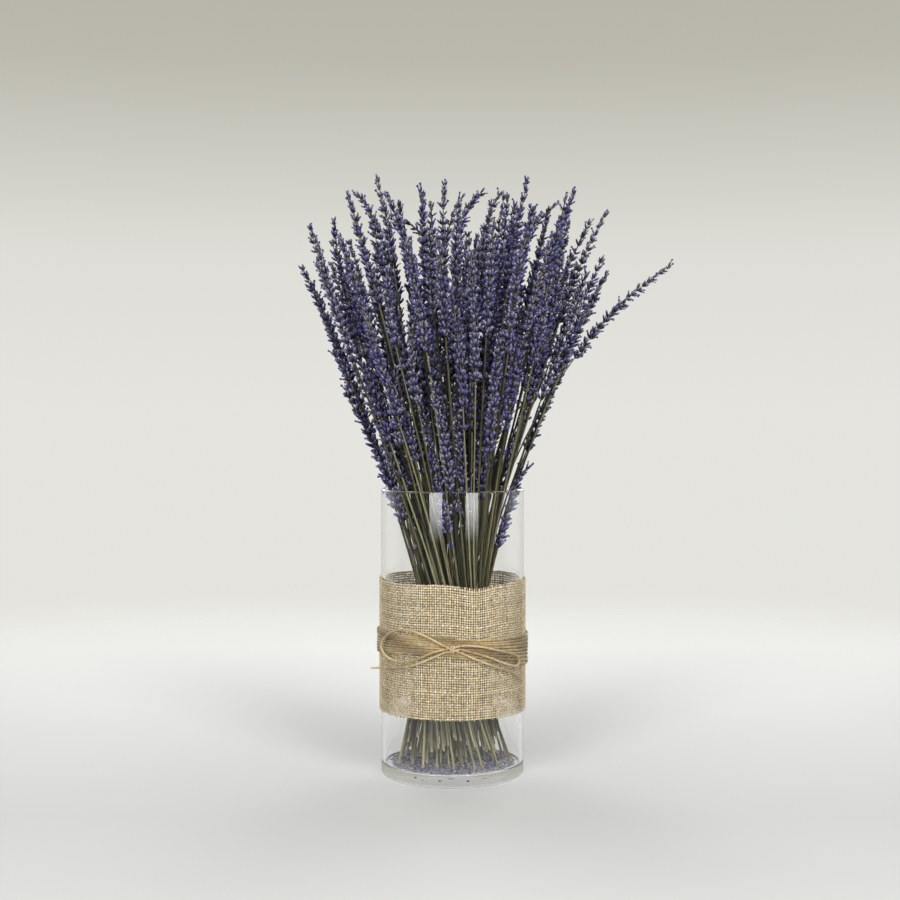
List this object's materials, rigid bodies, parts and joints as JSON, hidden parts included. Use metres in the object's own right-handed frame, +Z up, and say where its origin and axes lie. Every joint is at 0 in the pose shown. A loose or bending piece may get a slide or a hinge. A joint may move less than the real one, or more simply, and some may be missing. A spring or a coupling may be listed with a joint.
{
  "type": "dried lavender in a vase",
  "caption": "Dried lavender sprigs, tied and fanned out of a clear glass cylinder vase with a burlap band, wound twine and a bow.",
  "frame": {"origin": "centre of the vase's flat underside, on the surface it stands on", "axes": "+Z up along the vase's axis, -Y towards the front, where the bow is tied, +X to the right seen from the front"},
  "size_m": [0.322, 0.225, 0.5354],
  "materials": {
    "clear_glass": "gloss",
    "burlap": "matte",
    "jute_twine": "matte",
    "rubber_band": "matte",
    "fallen_florets": "matte",
    "dried_lavender": "matte"
  },
  "bodies": {
    "root": {"glass_vase": "clear_glass", "burlap_wrap": "burlap", "twine_winding": "jute_twine", "bow_knot": "jute_twine", "bow_loop_left": "jute_twine", "bow_loop_right": "jute_twine", "bow_tail_left": "jute_twine", "bow_tail_right": "jute_twine", "bunch_tie": "rubber_band", "fallen_florets": "fallen_florets", "sprig_01": "dried_lavender", "sprig_02": "dried_lavender", "sprig_03": "dried_lavender", "sprig_04": "dried_lavender", "sprig_05": "dried_lavender", "sprig_06": "dried_lavender", "sprig_07": "dried_lavender", "sprig_08": "dried_lavender", "sprig_09": "dried_lavender", "sprig_10": "dried_lavender", "sprig_11": "dried_lavender", "sprig_12": "dried_lavender", "sprig_13": "dried_lavender", "sprig_14": "dried_lavender", "sprig_15": "dried_lavender", "sprig_16": "dried_lavender", "sprig_17": "dried_lavender", "sprig_18": "dried_lavender", "sprig_19": "dried_lavender", "sprig_20": "dried_lavender", "sprig_21": "dried_lavender", "sprig_22": "dried_lavender", "sprig_23": "dried_lavender", "sprig_24": "dried_lavender", "sprig_25": "dried_lavender", "sprig_26": "dried_lavender", "sprig_27": "dried_lavender", "sprig_28": "dried_lavender", "sprig_29": "dried_lavender", "sprig_30": "dried_lavender", "sprig_31": "dried_lavender", "sprig_32": "dried_lavender", "sprig_33": "dried_lavender", "sprig_34": "dried_lavender", "sprig_35": "dried_lavender", "sprig_36": "dried_lavender", "sprig_37": "dried_lavender", "sprig_38": "dried_lavender", "sprig_39": "dried_lavender", "sprig_40": "dried_lavender", "sprig_41": "dried_lavender", "sprig_42": "dried_lavender", "sprig_43": "dried_lavender", "sprig_44": "dried_lavender", "sprig_45": "dried_lavender", "sprig_46": "dried_lavender", "sprig_47": "dried_lavender", "sprig_48": "dried_lavender", "sprig_49": "dried_lavender", "sprig_50": "dried_lavender"}
  },
  "joints": []
}
